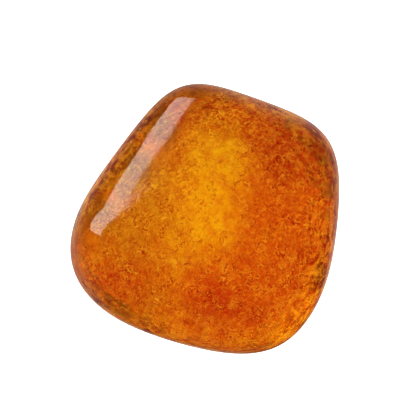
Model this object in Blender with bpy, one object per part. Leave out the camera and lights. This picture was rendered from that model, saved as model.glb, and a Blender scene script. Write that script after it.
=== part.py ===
"""Piece of amber: one tumbled, polished lump, lying on the face that wear has flattened.

Units are metres and +Z is up. The origin is the middle of the stone's box on the surface that it rests on.
The lump is a star-shaped solid: for each direction from its core, the worn faces say how far its skin is.
"""

import math

import bmesh
import bpy
from mathutils import Vector, noise

MM = 0.001

# The outline seen from above: worn sides as (bearing in degrees, distance of the side from the core).
SIDES = {
    "right": (-3.5, 15.0 * MM),
    "upper_right": (70.5, 14.95 * MM),
    "upper_left": (143.5, 12.55 * MM),
    "left": (195.5, 16.3 * MM),
    "bottom": (252.5, 13.8 * MM),
    "lower_right": (309.5, 16.8 * MM),
}
CORNER_ROUNDING = 6.0  # exponent that blends the sides; a higher one gives tighter corners
CROWN_TIGHTENING = 8.0  # gain of that exponent over the crown, for a rise of one
TIGHTENING_START = 0.16  # rise of the direction from which it is gained

# The section seen from the side, measured from the widest level.
CROWN_HEIGHT = 9.5 * MM
BELLY_DEPTH = 7.4 * MM
CROWN_ROUNDING = 2.3  # 2 is an ellipse; a higher one is boxier
BELLY_ROUNDING = 2.4

# Flats rubbed into the dome, as (bearing, elevation in degrees, distance from the core).
# The long highlight runs along crown_upper_left.
RUBBED_FLATS = {
    "crown_upper_left": (127.0, 55.5, 9.05 * MM),
    "crown_front_right": (318.0, 56.0, 12.0 * MM),
    "crown_back": (88.0, 48.0, 12.1 * MM),
    "crown_left": (206.0, 42.0, 13.3 * MM),
    "belly_right": (20.0, -44.0, 12.7 * MM),
    "belly_front_left": (236.0, -42.0, 12.2 * MM),
}
FLAT_ROUNDING = 14.0

# The resting face: the belly is cut level here, and rolls into the level part over the blend.
BASE_DEPTH = 6.5 * MM
BASE_BLEND = 0.3 * MM

# Long shallow swells that tumbling leaves.
SWELL_HEIGHT = 0.12 * MM
SWELL_LENGTH = 8.5 * MM

PATCHES_PER_EDGE = 24  # faces along each edge of the cube that the sphere is made from

AMBER_COLOUR = (0.62, 0.17, 0.004, 1.0)
AMBER_ROUGHNESS = 0.08
AMBER_IOR = 1.54


def bearing(azimuth, elevation=0.0):
    """Unit vector at these angles in degrees, turned from +X towards +Y and up."""
    turn, rise = math.radians(azimuth), math.radians(elevation)
    return Vector((math.cos(turn) * math.cos(rise), math.sin(turn) * math.cos(rise), math.sin(rise)))


def blend(distances, rounding):
    """One over the distance at which rounded faces are met; each value is one over a face's own distance."""
    return sum(max(0.0, d) ** rounding for d in distances) ** (1.0 / rounding)


def outline_reach(direction):
    """How strongly the sides hold the skin in, in this direction. Its inverse is the outline's radius."""
    rounding = CORNER_ROUNDING + CROWN_TIGHTENING * max(0.0, direction.z - TIGHTENING_START)
    return blend(
        (bearing(azimuth).dot(direction) / distance for azimuth, distance in SIDES.values()),
        rounding,
    )


def skin_radius(direction):
    """Distance from the core to the skin of the tumbled lump."""
    above = direction.z >= 0.0
    height = CROWN_HEIGHT if above else BELLY_DEPTH
    rounding = CROWN_ROUNDING if above else BELLY_ROUNDING
    dome = blend((outline_reach(direction), abs(direction.z) / height), rounding)
    flats = (
        bearing(azimuth, elevation).dot(direction) / distance
        for azimuth, elevation, distance in RUBBED_FLATS.values()
    )
    return 1.0 / blend((dome, *flats), FLAT_ROUNDING)


def swell(point):
    """Height of the shallow swells at a point of the skin."""
    return SWELL_HEIGHT * noise.noise(point / SWELL_LENGTH)


def level_base(z):
    """Raises what lies under the resting plane to it, rolling smoothly into the level part."""
    above = z + BASE_DEPTH
    if above <= -BASE_BLEND:
        return -BASE_DEPTH
    if above >= BASE_BLEND:
        return z
    return -BASE_DEPTH + (above + BASE_BLEND) ** 2 / (4.0 * BASE_BLEND)


def even_sphere(mesh, patches):
    """Fills mesh with a unit sphere of near-even square patches, made from a cube."""
    bmesh.ops.create_cube(mesh, size=2.0)
    bmesh.ops.subdivide_edges(mesh, edges=mesh.edges[:], cuts=patches - 1, use_grid_fill=True)
    for vertex in mesh.verts:
        spread = (math.tan(side * math.pi / 4.0) for side in vertex.co)
        vertex.co = Vector(spread).normalized()


def stand_on_origin(mesh):
    """Moves the stone so that the middle of its box stands on the origin."""
    lows = [min(vertex.co[axis] for vertex in mesh.verts) for axis in range(3)]
    highs = [max(vertex.co[axis] for vertex in mesh.verts) for axis in range(3)]
    shift = Vector((-(lows[0] + highs[0]) / 2.0, -(lows[1] + highs[1]) / 2.0, -lows[2]))
    bmesh.ops.translate(mesh, verts=mesh.verts[:], vec=shift)


def amber_material():
    material = bpy.data.materials.new("amber")
    material.use_nodes = True
    shader = material.node_tree.nodes["Principled BSDF"]
    shader.inputs["Base Color"].default_value = AMBER_COLOUR
    shader.inputs["Roughness"].default_value = AMBER_ROUGHNESS
    shader.inputs["Metallic"].default_value = 0.0
    shader.inputs["IOR"].default_value = AMBER_IOR
    shader.inputs["Transmission Weight"].default_value = 1.0
    return material


def make_amber(collection):
    """The lump, as one closed solid."""
    shape = bmesh.new()
    even_sphere(shape, PATCHES_PER_EDGE)
    for vertex in shape.verts:
        direction = vertex.co.normalized()
        skin = direction * skin_radius(direction)
        skin += direction * swell(skin)
        skin.z = level_base(skin.z)
        vertex.co = skin
    stand_on_origin(shape)
    bmesh.ops.recalc_face_normals(shape, faces=shape.faces[:])
    data = bpy.data.meshes.new("amber")
    shape.to_mesh(data)
    shape.free()
    data.shade_smooth()
    data.materials.append(amber_material())
    amber = bpy.data.objects.new("amber", data)
    collection.objects.link(amber)
    return amber


def main():
    for thing in list(bpy.data.objects):
        bpy.data.objects.remove(thing)
    collection = bpy.data.collections.new("piece_of_amber")
    bpy.context.scene.collection.children.link(collection)
    make_amber(collection)


main()
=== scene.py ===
"""Looks of the piece of amber: a tumbled, polished lump of clear resin on a white table, seen from above.

Lengths are metres, written as millimetres times MM. +Z is up, and +Y is up in the picture.
The lump has the CAD solid's own form, made finer, with a pitted underside that shows through the clear resin.
"""

import math

import bmesh
import bpy
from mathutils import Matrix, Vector, noise


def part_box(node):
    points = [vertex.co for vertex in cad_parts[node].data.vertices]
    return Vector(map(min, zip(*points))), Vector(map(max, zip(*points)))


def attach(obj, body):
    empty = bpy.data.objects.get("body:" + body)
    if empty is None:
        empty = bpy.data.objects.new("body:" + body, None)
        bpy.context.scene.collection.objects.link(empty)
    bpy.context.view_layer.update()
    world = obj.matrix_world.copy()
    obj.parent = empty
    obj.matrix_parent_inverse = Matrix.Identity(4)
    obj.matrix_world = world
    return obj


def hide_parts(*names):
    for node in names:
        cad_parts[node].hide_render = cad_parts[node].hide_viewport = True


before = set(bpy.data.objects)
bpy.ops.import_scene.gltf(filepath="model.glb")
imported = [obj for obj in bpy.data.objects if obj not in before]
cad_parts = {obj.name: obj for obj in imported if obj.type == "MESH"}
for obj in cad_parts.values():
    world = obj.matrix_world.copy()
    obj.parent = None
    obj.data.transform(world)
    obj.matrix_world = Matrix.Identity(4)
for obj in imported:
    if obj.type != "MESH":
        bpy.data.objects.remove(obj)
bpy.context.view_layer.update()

MM = 0.001

# The outline seen from above: worn sides as (bearing in degrees, distance of the side from the core).
SIDES = (
    (-3.5, 15.0 * MM),
    (70.5, 14.95 * MM),
    (143.5, 12.55 * MM),
    (195.5, 16.3 * MM),
    (252.5, 13.8 * MM),
    (309.5, 16.8 * MM),
)
CORNER_ROUNDING = 6.0  # exponent that blends the sides; a higher one gives tighter corners
CROWN_TIGHTENING = 8.0  # gain of that exponent over the crown, for a rise of one
TIGHTENING_START = 0.16  # rise of the direction from which it is gained

# The section seen from the side, measured from the widest level.
CROWN_HEIGHT = 9.5 * MM
BELLY_DEPTH = 7.4 * MM
CROWN_ROUNDING = 2.3  # 2 is an ellipse; a higher one is boxier
BELLY_ROUNDING = 2.4

# Slight flats rubbed into the dome, as (bearing, elevation in degrees, distance from the core).
RUBBED_FLATS = (
    (127.0, 55.5, 9.05 * MM),
    (318.0, 56.0, 12.0 * MM),
    (88.0, 48.0, 12.1 * MM),
    (206.0, 42.0, 13.3 * MM),
    (20.0, -44.0, 12.7 * MM),
    (236.0, -42.0, 12.2 * MM),
)
FLAT_ROUNDING = 14.0

# The resting face: the belly is cut level here, and rolls into the level part over the blend.
BASE_DEPTH = 6.5 * MM
BASE_BLEND = 0.3 * MM

# Long shallow swells that tumbling leaves.
SWELL_HEIGHT = 0.12 * MM
SWELL_LENGTH = 8.5 * MM

PATCHES_PER_EDGE = 124  # faces along each edge of the cube that the fine sphere is made from

# Pits and crazing of the underside. They start below the girdle, the widest level.
PIT_DEPTH = 0.09 * MM
PIT_SPACING = 0.75 * MM
PIT_RADIUS = 0.6  # as a share of the spacing
PIT_CURVE = 1.5  # 1 gives the pits straight sides; a higher one draws their middles in
CRAZING_DEPTH = 0.07 * MM
CRAZING_LENGTH = 1.5 * MM
CRACK_WIDTH = 0.22  # largest value of the noise, either way, that counts as crack
RELIEF_STARTS = -1.0 * MM
RELIEF_FULL = -3.0 * MM

# What the camera sees: straight down, the frame as wide as 46.8 mm of the girdle's level.
FRAME_WIDTH = 46.84 * MM
FRAME_CENTRE = Vector((0.61 * MM, 0.95 * MM))
GIRDLE_LEVEL = 6.5 * MM
CAMERA_DISTANCE = 260.0 * MM
CAMERA_CLIP = 10.0 * MM
SENSOR_WIDTH = 36.0
VIEW_EXPOSURE = 0.07
VIEW_GAMMA = 0.75

WHITE = (1.0, 1.0, 1.0, 1.0)

TENT_RADIUS = 600.0 * MM
TENT_RINGS = 16
TENT_RADIANCE = 1.5
TENT_BRIGHT_SIDE = (-0.5, 0.85)
TENT_DIM_SHARE = 0.86  # share of the radiance at the side away from the bright one
TENT_SHARE_GAIN = 0.28  # what the bright side has over that share

TABLE_HALF_WIDTH = 3.0
TABLE_DROP = 0.02 * MM
TABLE_COLOUR = (0.9, 0.9, 0.9, 1.0)
TABLE_ROUGHNESS = 0.9
TABLE_GLOW = 0.68

# The dim studio that only reflections see: overhead, and what is added below the table's level.
# It is dimmer at the picture's foot, and brighter and higher at its upper left corner.
OVERHEAD = 0.025
BELOW = 0.545
BELOW_TURN = (-0.75, -0.05)
FOOT_SIDE = (0.26, -0.97)
FOOT_TURN = (0.15, 0.5)
FOOT_DIMMING = 0.88
CORNER_SIDE = (-0.44, 0.9)
CORNER_TURN = (0.1, 0.7)
CORNER_RISE = 0.12
CORNER_GAIN = 0.25

# The window's corners, as (bearing, elevation in degrees) from the stone.
# The crown shows it as one straight strip.
WINDOW_CORNERS = (
    (108.0, 5.5),
    (116.0, 13.6),
    (124.0, 18.4),
    (131.0, 21.5),
    (141.0, 23.4),
    (170.0, 20.0),
    (168.0, 7.0),
    (156.0, 7.6),
    (150.0, 9.4),
    (139.0, 14.2),
    (132.0, 12.6),
    (126.0, 4.5),
    (118.0, -4.0),
)
WINDOW_FACING = (138.0, 8.0)
WINDOW_DISTANCE = 300.0 * MM
GLOW_DISTANCE = 1.02 * WINDOW_DISTANCE
WINDOW_RADIANCE = 5.0  # of the pane that is reflected
GLOW_RADIANCE = 5.0  # of the pane that shines through the stone
WINDOW_FALL_OFF = (100.0 * MM, 190.0 * MM)  # measured towards -X, from the end colour to the full one
WINDOW_COLOUR = (0.78, 0.98, 1.12, 1.0)
WINDOW_END_COLOUR = (0.58, 0.71, 0.80, 1.0)

AMBER_IOR = 1.54
AMBER_CLARITY = 0.9
SATIN_ROUGHNESS = 0.26  # of the underside
CROWN_POLISH = 0.20  # how much less the crown has

# Colours of the resin's zones. Light that enters and leaves takes on the colours of both places.
RED_ORANGE = (0.78, 0.26, 0.02, 1.0)
GOLD = (0.94, 0.70, 0.03, 1.0)
OCHRE = (0.73, 0.425, 0.03, 1.0)
DEEP_RED = (0.62, 0.11, 0.02, 1.0)
BROWN = (0.58, 0.19, 0.02, 1.0)
SIENNA = (0.72, 0.22, 0.02, 1.0)
CLARET = (0.82, 0.10, 0.02, 1.0)
RUBY = (0.72, 0.065, 0.02, 1.0)
BARK = (0.26, 0.06, 0.05, 1.0)
MOSS = (0.36, 0.17, 0.03, 1.0)
UMBER = (0.40, 0.13, 0.02, 1.0)
# Used for the painted glow of the light that gathers at the far rim.
PAINTED_RIM_GLOW = (1.0, 0.41, 0.02, 1.0)
HONEY = (0.86, 0.54, 0.03, 1.0)
GARNET = (0.58, 0.09, 0.02, 1.0)
SCARLET = (0.68, 0.12, 0.02, 1.0)

# Cloudy zones, as (colour, middle, half-width on each axis) in millimetres, the later over the earlier.
ZONES = (
    (OCHRE, (-5.5, 0.3, 7.0), (6.0, 8.0, 30.0)),
    (OCHRE, (-7.0, -10.2, 7.0), (7.0, 3.0, 30.0)),
    (SCARLET, (-8.4, -6.0, 7.0), (4.2, 2.0, 30.0)),
    (DEEP_RED, (8.8, 7.0, 7.0), (4.5, 3.6, 30.0)),
    (SCARLET, (1.6, -8.4, 7.0), (3.8, 2.2, 30.0)),
    (GOLD, (1.9, 5.8, 7.0), (4.1, 4.3, 30.0)),
    (HONEY, (-3.4, -3.4, 7.0), (2.6, 2.4, 30.0)),
    (GOLD, (0.6, 0.1, 7.0), (3.7, 4.7, 30.0)),
    (GOLD, (-0.5, -12.9, 7.0), (6.0, 2.1, 30.0)),
    (HONEY, (9.6, -12.6, 7.0), (2.6, 1.8, 30.0)),
    (GARNET, (12.9, -5.8, 9.5), (2.8, 7.0, 9.0)),
    (CLARET, (12.6, 6.4, 8.0), (4.5, 6.0, 5.0)),
    (RUBY, (12.7, 5.4, 11.0), (2.2, 4.6, 3.5)),
    # Painted glow: the far rim at the lower right, brightened where window light gathers through the stone.
    (PAINTED_RIM_GLOW, (7.5, -11.0, 6.5), (9.0, 4.5, 3.5)),
    (BROWN, (0.0, 13.2, 7.0), (8.5, 3.8, 30.0)),
    (GARNET, (6.3, 12.4, 7.0), (6.0, 2.3, 30.0)),
    (SCARLET, (3.0, 11.6, 7.0), (2.6, 1.5, 30.0)),
    (SCARLET, (6.4, 9.3, 7.0), (2.3, 2.2, 30.0)),
    (BARK, (12.6, -6.2, 9.0), (0.8, 1.5, 30.0)),
    (SIENNA, (-8.0, 9.5, 7.0), (4.5, 4.5, 3.2)),
    (UMBER, (-13.6, 1.2, 6.5), (4.0, 6.0, 4.8)),
    (MOSS, (-4.4, 9.9, 7.0), (1.8, 2.3, 30.0)),
    (MOSS, (-7.4, 5.8, 7.0), (1.8, 2.4, 30.0)),
    (MOSS, (-9.0, 3.1, 7.0), (1.6, 1.6, 30.0)),
    (MOSS, (-11.0, 0.4, 7.0), (1.9, 2.5, 30.0)),
)
ZONE_EDGE = (0.1, 0.95)
ZONE_RAGGEDNESS = 0.9

# Colours that the marks multiply by, or are mixed with. Some are resin colours, and some paint shade,
# highlights and glints.
# Painted shade: multiplied in towards +Y, the picture's top, for the lower light there.
PAINTED_UPPER_SHADE = (0.89, 0.91, 0.9, 1.0)
MOTTLE_SHADE = (0.88, 0.50, 0.8, 1.0)
# The first darkens flecks and specks and also paints the ridges' shade; the second lightens them and also
# paints the highlights of ridges and lines.
DARK_FLECK_AND_SHADE = (0.80, 0.28, 0.4, 1.0)
LIGHT_FLECK_AND_HIGHLIGHT = (0.96, 0.72, 0.12, 1.0)
LINE_SHADE = (0.57, 0.10, 0.25, 1.0)
# Painted dark dashes and painted glints of the rim, for its dark internal reflections and bright refractions.
PAINTED_RIM_SHADE = (0.36, 0.07, 0.2, 1.0)
PAINTED_RIM_GLINT = (1.0, 0.56, 0.07, 1.0)

# Noises of the resin, as (size of the lumps, detail, roughness, distortion).
NOISE_MIDDLE = 0.5
DRIFT = (4.0 * MM, 4.0, 0.6, 0.0)
MOTTLE = (1.4 * MM, 3.0, 0.65, 0.6)
WRINKLES = (1.1 * MM, 2.0, 0.5, 1.2)
FLECKS = (0.5 * MM, 2.0, 0.6, 0.3)
SPECKS = (0.24 * MM, 1.0, 0.5, 0.0)
PATCHES = (1.7 * MM, 2.0, 0.5, 0.0)
LINES = (0.75 * MM, 2.0, 0.5, 1.0)
DASHES = (0.6 * MM, 1.0, 0.5, 0.0)
RIM_MARKS = (1.15 * MM, 4.0, 0.62, 0.5)

# Where on its noise each mark fades in. Light ones lie below the turn, and all others above it.
MOTTLE_TURN = (0.42, 0.66)
DARK_FLECK_TURN = (0.50, 0.66)
LIGHT_FLECK_TURN = (0.34, 0.47)
DARK_SPECK_TURN = (0.53, 0.64)
LIGHT_SPECK_TURN = (0.35, 0.45)
PATCH_TURN = (0.45, 0.56)
DASH_TURN = (0.42, 0.5)
DARK_RIM_TURN = (0.55, 0.60)
LIGHT_RIM_TURN = (0.39, 0.45)

# A ridge or line is drawn along one value of its noise, and fades out over the width.
# The dark and light ridges are painted shade and painted highlight along the wrinkles that the bump raises.
DARK_RIDGE = 0.45
LIGHT_RIDGE = 0.56
RIDGE_WIDTH = (0.015, 0.075)
# Each light line is a painted highlight beside a dark line.
DARK_LINE = 0.47
LIGHT_LINE = 0.54
LINE_WIDTH = (0.015, 0.06)

# How strong each mark is, up to 1.
MOTTLE_SHARE = 0.75
DARK_FLECK_SHARE = 0.35
LIGHT_FLECK_SHARE = 0.3
DARK_SPECK_SHARE = 0.3
LIGHT_SPECK_SHARE = 0.4
LINE_HIGHLIGHT_SHARE = 0.85
CROWN_RIDGE_SHARE = 0.15
FLANK_RIDGE_SHARE = 0.3
BARE_SHARE = 0.35  # of the specks and lines between their patches
RIM_SHARE = 0.7

# Levels at which the parts of the crown start and end, each with its soft turn.
CROWN_FOOT = (5.5 * MM, 8.0 * MM)
FLANK_TOP = (12.0 * MM, 15.5 * MM)
RIM_FOOT = (5.5 * MM, 6.5 * MM)
RIM_TOP = (9.5 * MM, 12.0 * MM)
BUSY_TOP = (11.5 * MM, 14.5 * MM)
UPPER_TURN = (0.0, 11.0 * MM)  # this one runs from the middle towards +Y

# The band under the long highlight: which way from the middle it lies, how far out and how wide,
# and how much it takes off each mark.
BAND_SIDE = (-0.816, 0.578)
BAND_PLACE = 9.1 * MM
BAND_WIDTH = (1.0 * MM, 2.4 * MM)
BAND_CALM = 0.5
BAND_RIDGE_CALM = 0.2
BAND_RIM_CALM = 0.6

# Places that are calmer or busier than the rest, as (middle, half-width on each axis) in millimetres.
GOLDEN_MIDDLE = ((1.0, 4.0, 15.0), (4.5, 8.0, 30.0))
RIGHT_RIM = ((12.5, -3.5, 9.0), (3.0, 8.5, 30.0))
CREST = ((-9.0, 7.0, 9.0), (5.0, 7.0, 30.0))
FOOT_RIM = ((-7.0, -10.5, 9.0), (7.5, 3.2, 30.0))
SHOULDER = ((10.5, 9.0, 9.0), (6.0, 5.0, 30.0))
MIDDLE_CALM = 0.35
BUSY_SHARE = 0.6  # of all but the right rim
RIGHT_RIM_CALM = 0.35  # taken off the outermost marks there
DARK_RIM_GAIN = 0.02
LIGHT_RIM_GAIN = 0.025
RIM_DRAW = 8.5 * MM  # radius that the rim's marks are laid out at; a smaller one draws them out more

# Fine relief of the skin: high on the underside, and slight on the crown.
FLECK_HEIGHT = 0.3
UNDERSIDE_HEIGHT = 7.0
CROWN_EASING = 6.0
BAND_EASING = 0.8
BUMP_STRENGTH = 0.5
BUMP_DISTANCE = 0.018 * MM

# Each channel of light is absorbed by the density times what the tint's own channel lacks to 1.
RESIN_TINT = (0.927, 0.875, 0.04, 1.0)
RESIN_DENSITY = 0.20 / MM


def bearing(azimuth, elevation=0.0):
    """Unit vector at these angles in degrees, turned from +X towards +Y and up."""
    turn, rise = math.radians(azimuth), math.radians(elevation)
    return Vector((math.cos(turn) * math.cos(rise), math.sin(turn) * math.cos(rise), math.sin(rise)))


WORN_SIDES = [bearing(azimuth) / distance for azimuth, distance in SIDES]
WORN_FLATS = [bearing(azimuth, elevation) / distance for azimuth, elevation, distance in RUBBED_FLATS]


def blend(distances, rounding):
    """One over the distance at which rounded faces are met; each value is one over a face's own distance."""
    return sum(max(0.0, d) ** rounding for d in distances) ** (1.0 / rounding)


def skin_radius(direction):
    """Distance from the core to the skin of the tumbled lump."""
    above = direction.z >= 0.0
    height = CROWN_HEIGHT if above else BELLY_DEPTH
    rounding = CROWN_ROUNDING if above else BELLY_ROUNDING
    corners = CORNER_ROUNDING + CROWN_TIGHTENING * max(0.0, direction.z - TIGHTENING_START)
    reach = blend([side.dot(direction) for side in WORN_SIDES], corners)
    dome = blend((reach, abs(direction.z) / height), rounding)
    flats = [flat.dot(direction) for flat in WORN_FLATS]
    return 1.0 / blend((dome, *flats), FLAT_ROUNDING)


def level_base(z):
    """Raises what lies under the resting plane to it, rolling smoothly into the level part."""
    above = z + BASE_DEPTH
    if above <= -BASE_BLEND:
        return -BASE_DEPTH
    if above >= BASE_BLEND:
        return z
    return -BASE_DEPTH + (above + BASE_BLEND) ** 2 / (4.0 * BASE_BLEND)


def smooth_step(value, start, end):
    """0 before start and 1 after end, with a soft turn at both."""
    share = min(1.0, max(0.0, (value - start) / (end - start)))
    return share * share * (3.0 - 2.0 * share)


def underside_relief(point):
    """Depth of the pits and crazing at a point of the skin, measured inwards."""
    share = smooth_step(point.z, RELIEF_STARTS, RELIEF_FULL)
    if share == 0.0:
        return 0.0
    nearest = noise.voronoi(point / PIT_SPACING)[0][0]
    pit = max(0.0, 1.0 - nearest / PIT_RADIUS) ** PIT_CURVE
    crack = 1.0 - min(1.0, abs(noise.noise(point / CRAZING_LENGTH)) / CRACK_WIDTH)
    return share * (PIT_DEPTH * pit + CRAZING_DEPTH * crack * crack)


def even_sphere(mesh, patches):
    """Fills mesh with a unit sphere of near-even square patches, made from a cube."""
    bmesh.ops.create_cube(mesh, size=2.0)
    bmesh.ops.subdivide_edges(mesh, edges=mesh.edges[:], cuts=patches - 1, use_grid_fill=True)
    for vertex in mesh.verts:
        spread = [math.tan(side * math.pi / 4.0) for side in vertex.co]
        vertex.co = Vector(spread).normalized()


def seat_on(mesh, low, high):
    """Moves the mesh so that its box stands where the CAD solid's box does."""
    lows = [min(vertex.co[axis] for vertex in mesh.verts) for axis in range(3)]
    highs = [max(vertex.co[axis] for vertex in mesh.verts) for axis in range(3)]
    middle = [(low[axis] + high[axis] - lows[axis] - highs[axis]) / 2.0 for axis in range(2)]
    bmesh.ops.translate(mesh, verts=mesh.verts[:], vec=Vector((*middle, low[2] - lows[2])))


def make_lump():
    """The whole lump as one closed mesh, in the CAD solid's place."""
    shape = bmesh.new()
    even_sphere(shape, PATCHES_PER_EDGE)
    for vertex in shape.verts:
        direction = vertex.co.normalized()
        skin = direction * skin_radius(direction)
        skin += direction * (SWELL_HEIGHT * noise.noise(skin / SWELL_LENGTH))
        skin.z = level_base(skin.z)
        vertex.co = skin - direction * underside_relief(skin)
    seat_on(shape, *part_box("amber"))
    bmesh.ops.recalc_face_normals(shape, faces=shape.faces[:])
    data = bpy.data.meshes.new("polished_lump")
    shape.to_mesh(data)
    shape.free()
    data.shade_smooth()
    lump = bpy.data.objects.new("polished_lump", data)
    bpy.context.scene.collection.objects.link(lump)
    return lump


class Value:
    """A number that varies over a surface. Sums on it add Math nodes."""

    def __init__(self, graph, socket):
        self.graph = graph
        self.socket = socket

    def math(self, operation, *values):
        """The result of a Math node."""
        node = self.graph.add("ShaderNodeMath", {"operation": operation}, dict(enumerate(values)))
        return Value(self.graph, node.outputs[0])

    def __add__(self, other):
        return self.math("ADD", self, other)

    def __radd__(self, other):
        return self.math("ADD", other, self)

    def __sub__(self, other):
        return self.math("SUBTRACT", self, other)

    def __rsub__(self, other):
        return self.math("SUBTRACT", other, self)

    def __mul__(self, other):
        return self.math("MULTIPLY", self, other)

    def __rmul__(self, other):
        return self.math("MULTIPLY", other, self)

    def __pow__(self, other):
        return self.math("POWER", self, other)

    def exp(self):
        return self.math("EXPONENT", self)

    def magnitude(self):
        return self.math("ABSOLUTE", self)

    def smooth(self, start, end):
        """0 before start and 1 after end, with a soft turn at both."""
        settings = {"interpolation_type": "SMOOTHSTEP"}
        sockets = {"Value": self, "From Min": start, "From Max": end}
        return Value(self.graph, self.graph.add("ShaderNodeMapRange", settings, sockets).outputs[0])

    def near(self, level, width):
        """1 at a level, fading out between the two distances from it."""
        return 1.0 - (self - level).magnitude().smooth(*width)


class Graph:
    """The emptied node tree of a material or of the world."""

    def __init__(self, owner):
        owner.use_nodes = True
        self.tree = owner.node_tree
        self.tree.nodes.clear()

    def add(self, kind, settings, sockets):
        """Adds a node, sets its settings and then gives its sockets their values or links."""
        node = self.tree.nodes.new(kind)
        for name, setting in settings.items():
            setattr(node, name, setting)
        for name, value in sockets.items():
            source = value.socket if isinstance(value, Value) else value
            if isinstance(source, bpy.types.NodeSocket):
                self.tree.links.new(source, node.inputs[name])
            else:
                node.inputs[name].default_value = source
        return node

    def mix(self, share, first, second, blend_type="MIX"):
        """The colour between two colours. Sockets 6 and 7 and output 2 are a Mix node's colour ones."""
        settings = {"data_type": "RGBA", "blend_type": blend_type}
        return self.add("ShaderNodeMix", settings, {0: share, 6: first, 7: second}).outputs[2]

    def vector(self, operation, first, second):
        """The vector that a Vector Math node makes of two."""
        return self.add("ShaderNodeVectorMath", {"operation": operation}, {0: first, 1: second}).outputs[0]

    def length(self, vector):
        """The length of a vector."""
        node = self.add("ShaderNodeVectorMath", {"operation": "LENGTH"}, {0: vector})
        return Value(self, node.outputs[1])

    def parts(self, vector):
        """The three numbers of a vector."""
        outputs = self.add("ShaderNodeSeparateXYZ", {}, {0: vector}).outputs
        return [Value(self, output) for output in outputs]

    def noise(self, place, size, detail, roughness, distortion):
        """Cloudy noise, about 0 to 1, whose lumps are about as large as size."""
        sockets = {
            "Vector": place,
            "Scale": 1.0 / size,
            "Detail": detail,
            "Roughness": roughness,
            "Distortion": distortion,
        }
        return Value(self, self.add("ShaderNodeTexNoise", {}, sockets).outputs[0])

    def along_rim(self, place):
        """Coordinates in which a pattern is drawn out round the stone's middle."""
        outwards = self.vector("MULTIPLY", place, (1.0, 1.0, 0.0))
        level = self.parts(place)[2]
        turn = self.add("ShaderNodeVectorMath", {"operation": "NORMALIZE"}, {0: outwards}).outputs[0]
        turn = self.vector("MULTIPLY", turn, (RIM_DRAW, RIM_DRAW, 0.0))
        depth = self.add("ShaderNodeCombineXYZ", {}, {"Z": level - self.length(outwards)}).outputs[0]
        return self.vector("ADD", turn, depth)

    def cloud(self, place, centre, reach):
        """1 at a centre, fading out over reach, a half-width on each axis. Both are in millimetres."""
        away = self.vector("SUBTRACT", place, [part * MM for part in centre])
        away = self.vector("DIVIDE", away, [part * MM for part in reach])
        return (-1.0 * self.length(away) ** 2.0).exp()


def along(side, parts):
    """How far a point lies towards a side, which is a level direction."""
    return side[0] * parts[0] + side[1] * parts[1]


def cloudy_zones(graph, place):
    """The resin's colour zones, with ragged edges."""
    drift = graph.noise(place, *DRIFT)
    colour = RED_ORANGE
    for tone, middle, reach in ZONES:
        zone = graph.cloud(place, middle, reach) + (drift - NOISE_MIDDLE) * ZONE_RAGGEDNESS
        colour = graph.mix(zone.smooth(*ZONE_EDGE), colour, tone)
    return colour


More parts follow.
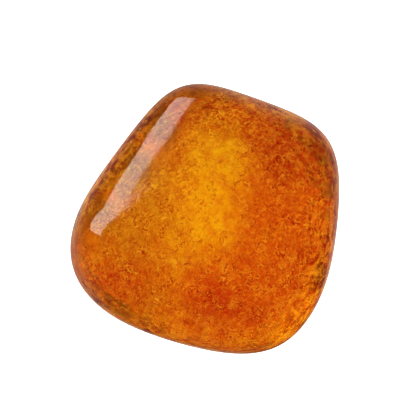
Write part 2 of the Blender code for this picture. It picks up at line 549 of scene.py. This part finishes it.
def amber_material():
    """Clear resin that darkens with depth, with cloudy zones, fine marks and longer ones along the rim, and
    painted shade, highlights, glints and glow.
    """
    material = bpy.data.materials.new("amber_resin")
    graph = Graph(material)
    place = graph.add("ShaderNodeTexCoord", {}, {}).outputs["Object"]
    parts = graph.parts(place)
    level = parts[2]
    crown = level.smooth(*CROWN_FOOT)
    flank = crown * (1.0 - level.smooth(*FLANK_TOP))
    colour = cloudy_zones(graph, place)

    # The golden middle and the band under the highlight are calmer. Some stretches of the rim are busier.
    band = along(BAND_SIDE, parts).near(BAND_PLACE, BAND_WIDTH)
    calm = 1.0 - MIDDLE_CALM * graph.cloud(place, *GOLDEN_MIDDLE)
    calm = calm * (1.0 - BAND_CALM * band)
    right = graph.cloud(place, *RIGHT_RIM)
    foot = graph.cloud(place, *FOOT_RIM)
    shoulder = graph.cloud(place, *SHOULDER)
    crest = graph.cloud(place, *CREST) * (1.0 - band)
    busy = right + foot * BUSY_SHARE + shoulder * BUSY_SHARE + crest * BUSY_SHARE

    # Mottling and flecks lie all through. Ridges of painted shade and painted highlight are drawn along the
    # wrinkles on the crown, most of all on its flank.
    mottle = graph.noise(place, *MOTTLE).smooth(*MOTTLE_TURN)
    wrinkles = graph.noise(place, *WRINKLES)
    flecks = graph.noise(place, *FLECKS)
    ridges = crown * CROWN_RIDGE_SHARE + flank * (FLANK_RIDGE_SHARE - BAND_RIDGE_CALM * band)
    dark_flecks_and_shade = wrinkles.near(DARK_RIDGE, RIDGE_WIDTH) * ridges
    dark_flecks_and_shade = (dark_flecks_and_shade + flecks.smooth(*DARK_FLECK_TURN) * DARK_FLECK_SHARE) * calm
    light_flecks_and_highlights = wrinkles.near(LIGHT_RIDGE, RIDGE_WIDTH) * ridges
    light_flecks_and_highlights = (light_flecks_and_highlights + (1.0 - flecks.smooth(*LIGHT_FLECK_TURN)) * LIGHT_FLECK_SHARE) * calm

    # The crown also has specks and short curved dark lines, mostly in patches, each with a painted highlight
    # beside it.
    specks = graph.noise(place, *SPECKS)
    patches = graph.noise(place, *PATCHES).smooth(*PATCH_TURN)
    lines = graph.noise(place, *LINES)
    dashes = graph.noise(place, *DASHES).smooth(*DASH_TURN)
    fine = crown * calm * (BARE_SHARE + (1.0 - BARE_SHARE) * patches)
    drawn = fine * dashes
    dark_flecks_and_shade = dark_flecks_and_shade + fine * specks.smooth(*DARK_SPECK_TURN) * DARK_SPECK_SHARE
    light_flecks_and_highlights = light_flecks_and_highlights + fine * (1.0 - specks.smooth(*LIGHT_SPECK_TURN)) * LIGHT_SPECK_SHARE
    dark_lines = drawn * lines.near(DARK_LINE, LINE_WIDTH)
    painted_line_highlights = drawn * lines.near(LIGHT_LINE, LINE_WIDTH) * LINE_HIGHLIGHT_SHARE

    # Painted shade, darker towards +Y, the picture's top.
    colour = graph.mix(parts[1].smooth(*UPPER_TURN), colour, PAINTED_UPPER_SHADE, "MULTIPLY")
    colour = graph.mix(mottle * MOTTLE_SHARE, colour, MOTTLE_SHADE, "MULTIPLY")
    colour = graph.mix(dark_flecks_and_shade, colour, DARK_FLECK_AND_SHADE, "MULTIPLY")
    colour = graph.mix(light_flecks_and_highlights, colour, LIGHT_FLECK_AND_HIGHLIGHT)
    colour = graph.mix(dark_lines, colour, LINE_SHADE, "MULTIPLY")
    # Painted highlights beside the dark lines.
    colour = graph.mix(painted_line_highlights, colour, LIGHT_FLECK_AND_HIGHLIGHT)

    # Painted dark dashes and painted glints lie along the rim, and higher up where it is busy. They stand for
    # the dark internal reflections and bright refractions of the wrinkled underside.
    rim = level.smooth(*RIM_FOOT) * (1.0 - level.smooth(*RIM_TOP)) * (RIM_SHARE - RIGHT_RIM_CALM * right)
    rim = rim + busy * crown * (1.0 - level.smooth(*BUSY_TOP)) * RIM_SHARE
    rim = rim * (1.0 - BAND_RIM_CALM * band)
    marks = graph.noise(graph.along_rim(place), *RIM_MARKS)
    painted_dark_dashes = (marks + busy * DARK_RIM_GAIN).smooth(*DARK_RIM_TURN)
    painted_glints = 1.0 - (marks - busy * LIGHT_RIM_GAIN).smooth(*LIGHT_RIM_TURN)
    # Painted dark dashes, then painted glints.
    colour = graph.mix(rim * painted_dark_dashes, colour, PAINTED_RIM_SHADE, "MULTIPLY")
    colour = graph.mix(rim * painted_glints, colour, PAINTED_RIM_GLINT)

    # The crown is polished, and the underside wrinkled and satin.
    easing = crown * (CROWN_EASING + BAND_EASING * band)
    height = (wrinkles + flecks * FLECK_HEIGHT) * (UNDERSIDE_HEIGHT - easing)
    bump = graph.add("ShaderNodeBump", {}, {
        "Strength": BUMP_STRENGTH,
        "Distance": BUMP_DISTANCE,
        "Height": height,
    })
    shader = graph.add("ShaderNodeBsdfPrincipled", {}, {
        "Base Color": colour,
        "Roughness": SATIN_ROUGHNESS - crown * CROWN_POLISH,
        "IOR": AMBER_IOR,
        "Transmission Weight": AMBER_CLARITY,
        "Normal": bump.outputs[0],
    })
    resin = graph.add("ShaderNodeVolumeAbsorption", {}, {
        "Color": RESIN_TINT,
        "Density": RESIN_DENSITY,
    })
    graph.add("ShaderNodeOutputMaterial", {}, {"Surface": shader.outputs[0], "Volume": resin.outputs[0]})
    return material


def table_material():
    """White table that glows a little, as over a light box."""
    material = bpy.data.materials.new("white_table")
    graph = Graph(material)
    shader = graph.add("ShaderNodeBsdfPrincipled", {}, {
        "Base Color": TABLE_COLOUR,
        "Roughness": TABLE_ROUGHNESS,
        "Emission Color": WHITE,
        "Emission Strength": TABLE_GLOW,
    })
    graph.add("ShaderNodeOutputMaterial", {}, {"Surface": shader.outputs[0]})
    return material


def window_material(name, radiance):
    """Even light, weaker towards the pane's end at the picture's top."""
    material = bpy.data.materials.new(name)
    graph = Graph(material)
    place = graph.add("ShaderNodeTexCoord", {}, {}).outputs["Object"]
    share = (-1.0 * graph.parts(place)[0]).smooth(*WINDOW_FALL_OFF)
    colour = graph.mix(share, WINDOW_END_COLOUR, WINDOW_COLOUR)
    glow = graph.add("ShaderNodeEmission", {}, {"Color": colour, "Strength": radiance})
    graph.add("ShaderNodeOutputMaterial", {}, {"Surface": glow.outputs[0]})
    return material


def tent_material():
    """White cloth, brighter towards the window."""
    material = bpy.data.materials.new("tent_cloth")
    graph = Graph(material)
    place = graph.add("ShaderNodeTexCoord", {}, {}).outputs["Object"]
    towards = along(TENT_BRIGHT_SIDE, graph.parts(place))
    share = TENT_DIM_SHARE + TENT_SHARE_GAIN * towards.smooth(-TENT_RADIUS, TENT_RADIUS)
    glow = graph.add("ShaderNodeEmission", {}, {"Color": share, "Strength": TENT_RADIANCE})
    graph.add("ShaderNodeOutputMaterial", {}, {"Surface": glow.outputs[0]})
    return material


def stage_piece(name, shape, material):
    """Puts a bmesh in the room as a piece of the stage."""
    data = bpy.data.meshes.new(name)
    shape.to_mesh(data)
    shape.free()
    data.materials.append(material)
    piece = bpy.data.objects.new(name, data)
    bpy.context.scene.collection.objects.link(piece)
    return piece


def make_table():
    """White table just under the stone, which the stone doesn't reflect."""
    plane = bmesh.new()
    bmesh.ops.create_grid(plane, x_segments=1, y_segments=1, size=TABLE_HALF_WIDTH)
    table = stage_piece("table", plane, table_material())
    table.location.z = -TABLE_DROP
    table.visible_glossy = False


def make_tent():
    """Diffusing tent over the table. It lights the table and the inside of the stone and isn't reflected."""
    dome = bmesh.new()
    bmesh.ops.create_uvsphere(dome, u_segments=2 * TENT_RINGS, v_segments=TENT_RINGS, radius=TENT_RADIUS)
    tent = stage_piece("tent", dome, tent_material())
    tent.visible_camera = False
    tent.visible_glossy = False
    tent.visible_shadow = False


def window_pane(name, distance, radiance):
    """Flat bright pane, to one side of the stone."""
    facing = bearing(*WINDOW_FACING)
    pane = bmesh.new()
    corners = []
    for azimuth, elevation in WINDOW_CORNERS:
        direction = bearing(azimuth, elevation)
        corners.append(pane.verts.new(direction * (distance / direction.dot(facing))))
    pane.faces.new(corners)
    window = stage_piece(name, pane, window_material(name, radiance))
    window.visible_camera = False
    return window


def make_window():
    """The window that the crown reflects, and its light through the stone, which gathers at the far rim."""
    window_pane("window", WINDOW_DISTANCE, WINDOW_RADIANCE).visible_transmission = False
    window_pane("window_glow", GLOW_DISTANCE, GLOW_RADIANCE).visible_glossy = False


def make_world():
    """The dim studio round the stage."""
    world = bpy.data.worlds.new("studio")
    bpy.context.scene.world = world
    graph = Graph(world)
    parts = graph.parts(graph.add("ShaderNodeTexCoord", {}, {}).outputs["Generated"])
    foot = along(FOOT_SIDE, parts).smooth(*FOOT_TURN)
    corner = along(CORNER_SIDE, parts).smooth(*CORNER_TURN)
    below = 1.0 - (parts[2] - CORNER_RISE * corner).smooth(*BELOW_TURN)
    share = OVERHEAD + BELOW * below * (1.0 - FOOT_DIMMING * foot) * (1.0 + CORNER_GAIN * corner)
    background = graph.add("ShaderNodeBackground", {}, {"Color": share, "Strength": 1.0})
    graph.add("ShaderNodeOutputWorld", {}, {"Surface": background.outputs[0]})


def make_camera():
    """Looks straight down, with the frame's width at the girdle's level."""
    data = bpy.data.cameras.new("overhead")
    data.sensor_width = SENSOR_WIDTH
    data.lens = SENSOR_WIDTH * CAMERA_DISTANCE / FRAME_WIDTH
    data.clip_start = CAMERA_CLIP
    camera = bpy.data.objects.new("overhead", data)
    camera.location = (*FRAME_CENTRE, GIRDLE_LEVEL + CAMERA_DISTANCE)
    bpy.context.scene.collection.objects.link(camera)
    bpy.context.scene.camera = camera


make_camera()
make_world()
make_table()
make_tent()
make_window()

view = bpy.context.scene.view_settings
view.view_transform = "Standard"
view.exposure = VIEW_EXPOSURE
view.gamma = VIEW_GAMMA

lump = make_lump()
lump.data.materials.append(amber_material())
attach(lump, "root")
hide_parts("amber")
